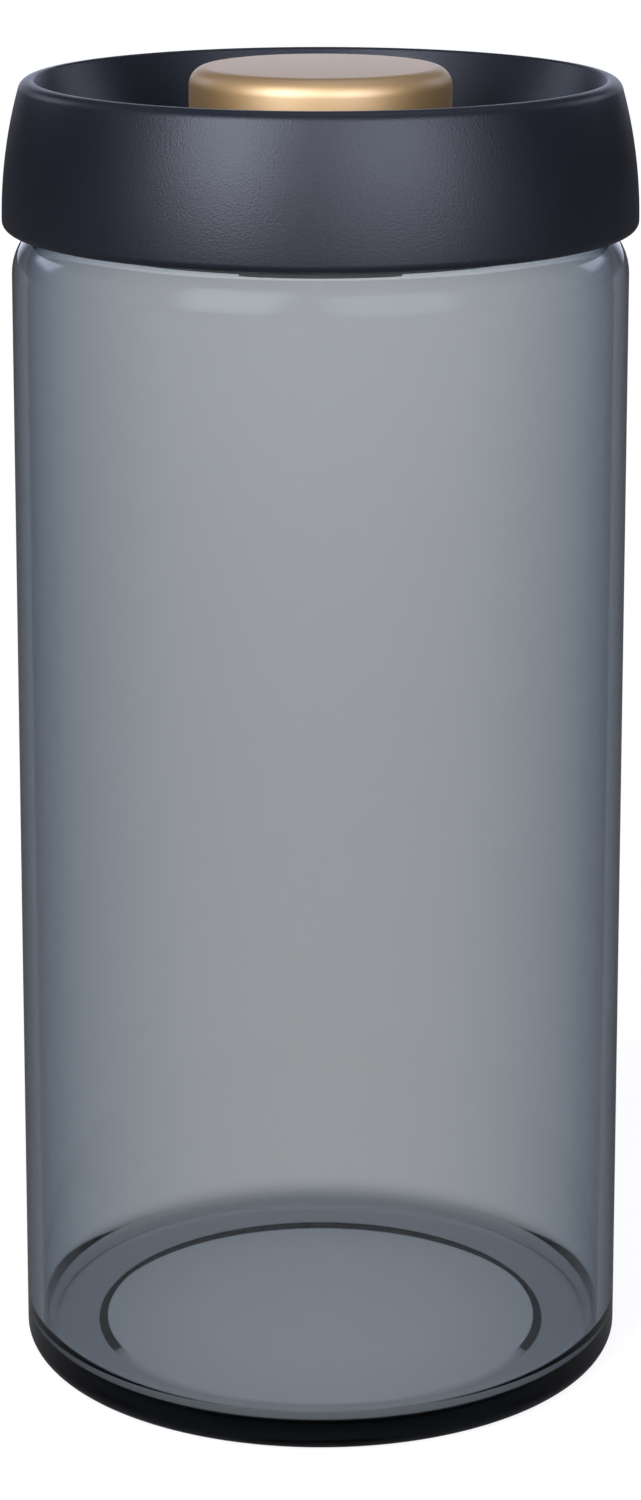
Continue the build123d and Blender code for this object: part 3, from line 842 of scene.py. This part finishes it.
FLOOR_SIZE = 8.0
TABLE_GREY = "#e8e8ea"
PLAIN_WHITE = "#ffffff"
GLOW_TO_CAMERA = 0.7  # the share of the floor that glows, the rest takes light and shadow
GLOW_TO_GLOSS = 0.88
GLOSS_BRIGHT_Y, GLOSS_DARK_Y = -1.1, -0.25  # far in front, and near the canister
GLOSS_MOST, GLOSS_LEAST = 0.9, 0.05  # how bright the floor is in gloss at these
WHITE_NEAR, WHITE_FAR = 0.2, 1.2  # distances from the canister's axis
WHITE_LEAST, WHITE_MOST = 1.2, 1.34  # how bright the floor is to the camera at these
bpy.ops.object.select_all(action="DESELECT")
bpy.ops.mesh.primitive_plane_add(size=FLOOR_SIZE, location=(0, 0, -0.2 * MM))
floor = bpy.context.object
floor.name = "studio_floor"
table_top, tree, output = new_material("pale_table")
rays = add_node(tree, "ShaderNodeLightPath")
seen = add_node(
    tree,
    "ShaderNodeMath",
    {"operation": "MAXIMUM"},
    in0=rays.outputs["Is Camera Ray"],
    in1=rays.outputs["Is Transmission Ray"],
)
mirrored = add_node(
    tree,
    "ShaderNodeMath",
    {"operation": "MULTIPLY"},
    in0=rays.outputs["Is Glossy Ray"],
    in1=GLOW_TO_GLOSS,
)
share = add_node(
    tree,
    "ShaderNodeMath",
    {"operation": "MULTIPLY_ADD"},
    in0=seen.outputs[0],
    in1=GLOW_TO_CAMERA,
    in2=mirrored.outputs[0],
)
place = add_node(tree, "ShaderNodeTexCoord").outputs["Object"]
spot = add_node(tree, "ShaderNodeSeparateXYZ", Vector=place)
front = add_node(
    tree,
    "ShaderNodeMapRange",
    {"interpolation_type": "SMOOTHSTEP"},
    Value=spot.outputs["Y"],
    From_Min=GLOSS_BRIGHT_Y,
    From_Max=GLOSS_DARK_Y,
    To_Min=GLOSS_MOST,
    To_Max=GLOSS_LEAST,
)
reach = add_node(tree, "ShaderNodeVectorMath", {"operation": "LENGTH"}, in0=place)
far = add_node(
    tree,
    "ShaderNodeMapRange",
    {"interpolation_type": "SMOOTHSTEP"},
    Value=reach.outputs["Value"],
    From_Min=WHITE_NEAR,
    From_Max=WHITE_FAR,
    To_Min=WHITE_LEAST,
    To_Max=WHITE_MOST,
)
brightness = add_node(
    tree,
    "ShaderNodeMix",
    {"data_type": "FLOAT"},
    in0=seen.outputs[0],
    in2=front.outputs["Result"],
    in3=far.outputs["Result"],
)
matt = add_node(tree, "ShaderNodeBsdfDiffuse", Color=linear(TABLE_GREY))
glow = add_node(
    tree, "ShaderNodeEmission", Color=linear(PLAIN_WHITE), Strength=brightness.outputs[0]
)
mixed = add_node(
    tree,
    "ShaderNodeMixShader",
    Fac=share.outputs[0],
    in1=matt.outputs["BSDF"],
    in2=glow.outputs["Emission"],
)
tree.links.new(mixed.outputs["Shader"], output.inputs["Surface"])
floor.data.materials.append(table_top)

# Studio. Two soft boxes in front, a weak one on each side behind, and a weak one overhead.
# The room is white to the camera and through the glass. Gloss sees it white straight behind
# the canister, pale overhead and dark all round, which keeps the lid's sides dark.

BACKDROP_FROM, BACKDROP_TO = 0.88, 0.99  # how straight backwards a look goes
BACKDROP_IN_GLOSS = 1.85
DARK_ROOM = 0.02
CEILING_FROM, CEILING_TO = 0.4, 0.95  # how straight up a look goes
CEILING_IN_GLOSS = 0.3
ROOM_FILL = 0.25
COOL_WHITE = "#dfe6ff"
KEY_WHITE = "#f6f8ff"
FILL_WHITE = "#f4f6ff"
SIDE_WHITE = "#dfe8ff"
LIT_POINT = (0, 0, 0.2)  # metres, at the lid
BOX_FADE_FROM, BOX_FADE_TO = 0.2, 0.5  # share of the box's size, out from its middle

world = bpy.data.worlds.new("studio")
bpy.context.scene.world = world
world.use_nodes = True
tree = world.node_tree
tree.nodes.clear()
output = tree.nodes.new("ShaderNodeOutputWorld")
rays = add_node(tree, "ShaderNodeLightPath")
facing = add_node(
    tree,
    "ShaderNodeSeparateXYZ",
    Vector=add_node(tree, "ShaderNodeTexCoord").outputs["Generated"],
)
behind = add_node(
    tree,
    "ShaderNodeMapRange",
    {"interpolation_type": "SMOOTHSTEP"},
    Value=facing.outputs["Y"],
    From_Min=BACKDROP_FROM,
    From_Max=BACKDROP_TO,
    To_Min=DARK_ROOM,
    To_Max=BACKDROP_IN_GLOSS,
)
above = add_node(
    tree,
    "ShaderNodeMapRange",
    {"interpolation_type": "SMOOTHSTEP"},
    Value=facing.outputs["Z"],
    From_Min=CEILING_FROM,
    From_Max=CEILING_TO,
    To_Min=0.0,
    To_Max=CEILING_IN_GLOSS,
)
room = add_node(
    tree,
    "ShaderNodeMath",
    {"operation": "MAXIMUM"},
    in0=behind.outputs["Result"],
    in1=above.outputs["Result"],
)
mirrored = add_node(
    tree,
    "ShaderNodeMath",
    {"operation": "MULTIPLY"},
    in0=rays.outputs["Is Glossy Ray"],
    in1=room.outputs[0],
)
seen = add_node(
    tree,
    "ShaderNodeMath",
    {"operation": "MAXIMUM"},
    in0=rays.outputs["Is Camera Ray"],
    in1=rays.outputs["Is Transmission Ray"],
)
both = add_node(
    tree,
    "ShaderNodeMath",
    {"operation": "MAXIMUM"},
    in0=seen.outputs[0],
    in1=mirrored.outputs[0],
)
ambient = add_node(
    tree,
    "ShaderNodeMath",
    {"operation": "MULTIPLY"},
    in0=rays.outputs["Is Diffuse Ray"],
    in1=ROOM_FILL,
)
light = add_node(
    tree,
    "ShaderNodeMath",
    {"operation": "MAXIMUM"},
    in0=both.outputs[0],
    in1=ambient.outputs[0],
)
cool = add_node(
    tree,
    "ShaderNodeMix",
    {"data_type": "RGBA"},
    in0=seen.outputs[0],
    in6=linear(COOL_WHITE),
    in7=linear(PLAIN_WHITE),
)
sky = add_node(
    tree, "ShaderNodeBackground", Color=cool.outputs[2], Strength=light.outputs[0]
)
tree.links.new(sky.outputs["Background"], output.inputs["Surface"])


def soft_box(name, at, width, height, watts, colour):
    """A soft box at a place in metres, turned to the lid. Its cloth is brightest in the
    middle and fades out to its edges. The camera doesn't see it, nor does the glass."""
    bpy.ops.object.light_add(type="AREA", location=at)
    lamp = bpy.context.object
    lamp.name = name
    lamp.data.shape = "RECTANGLE"
    lamp.data.size = width
    lamp.data.size_y = height
    lamp.data.energy = watts
    lamp.data.color = linear(colour)[:3]
    lamp.visible_camera = False
    lamp.visible_transmission = False
    x, y, z = [a - b for a, b in zip(LIT_POINT, at)]
    lamp.rotation_euler = (math.atan2(math.hypot(x, y), -z), 0, math.atan2(-x, y))
    lamp.data.use_nodes = True
    tree = lamp.data.node_tree
    tree.nodes.clear()
    cloth = add_node(
        tree,
        "ShaderNodeSeparateXYZ",
        Vector=add_node(tree, "ShaderNodeNewGeometry").outputs["Parametric"],
    )
    fades = []
    for axis in ("X", "Y"):
        offset = add_node(
            tree, "ShaderNodeMath", {"operation": "SUBTRACT"}, in0=cloth.outputs[axis], in1=0.5
        )
        distance = add_node(
            tree, "ShaderNodeMath", {"operation": "ABSOLUTE"}, in0=offset.outputs[0]
        )
        fade = add_node(
            tree,
            "ShaderNodeMapRange",
            {"interpolation_type": "SMOOTHSTEP"},
            Value=distance.outputs[0],
            From_Min=BOX_FADE_FROM,
            From_Max=BOX_FADE_TO,
            To_Min=1.0,
            To_Max=0.0,
        )
        fades.append(fade.outputs["Result"])
    both = add_node(
        tree, "ShaderNodeMath", {"operation": "MULTIPLY"}, in0=fades[0], in1=fades[1]
    )
    shine = add_node(tree, "ShaderNodeEmission", Strength=both.outputs[0])
    tree.links.new(shine.outputs[0], add_node(tree, "ShaderNodeOutputLight").inputs[0])


soft_box(
    "key_box", (-0.68, -1.02, 0.74), width=1.2, height=1.4, watts=48, colour=KEY_WHITE
)
soft_box(
    "fill_box", (0.56, -1.10, 0.64), width=1.5, height=1.3, watts=35, colour=FILL_WHITE
)
soft_box(
    "left_side_box", (-0.85, 0.72, 0.62), width=0.5, height=0.5, watts=2.0, colour=SIDE_WHITE
)
soft_box(
    "right_side_box", (0.85, 0.72, 0.62), width=0.5, height=0.5, watts=1.7, colour=SIDE_WHITE
)
soft_box("top_box", (0.1, 0.2, 1.2), width=0.9, height=0.7, watts=1.5, colour=FILL_WHITE)

# Camera. It stands where the photograph's camera stood, a little above the lid. Part of the
# photograph's shift is made up by tilting the camera down, so that the other views, which
# keep the shift, still hold the whole canister.

CAMERA_DISTANCE = 0.6345  # metres in front of the canister's axis
CAMERA_HEIGHT = 0.2845
CAMERA_TILT = 11.7  # degrees down
CAMERA_LENS = 94.85
CAMERA_SENSOR = 36.0
CAMERA_SHIFT = -0.2
bpy.ops.object.camera_add(
    location=(0, -CAMERA_DISTANCE, CAMERA_HEIGHT),
    rotation=(math.radians(90 - CAMERA_TILT), 0, 0),
)
camera = bpy.context.object
camera.name = "photo_camera"
camera.data.lens = CAMERA_LENS
camera.data.sensor_width = CAMERA_SENSOR
camera.data.shift_y = CAMERA_SHIFT
camera.data.clip_start = 0.01
bpy.context.scene.camera = camera
bpy.context.scene.view_settings.view_transform = "Standard"
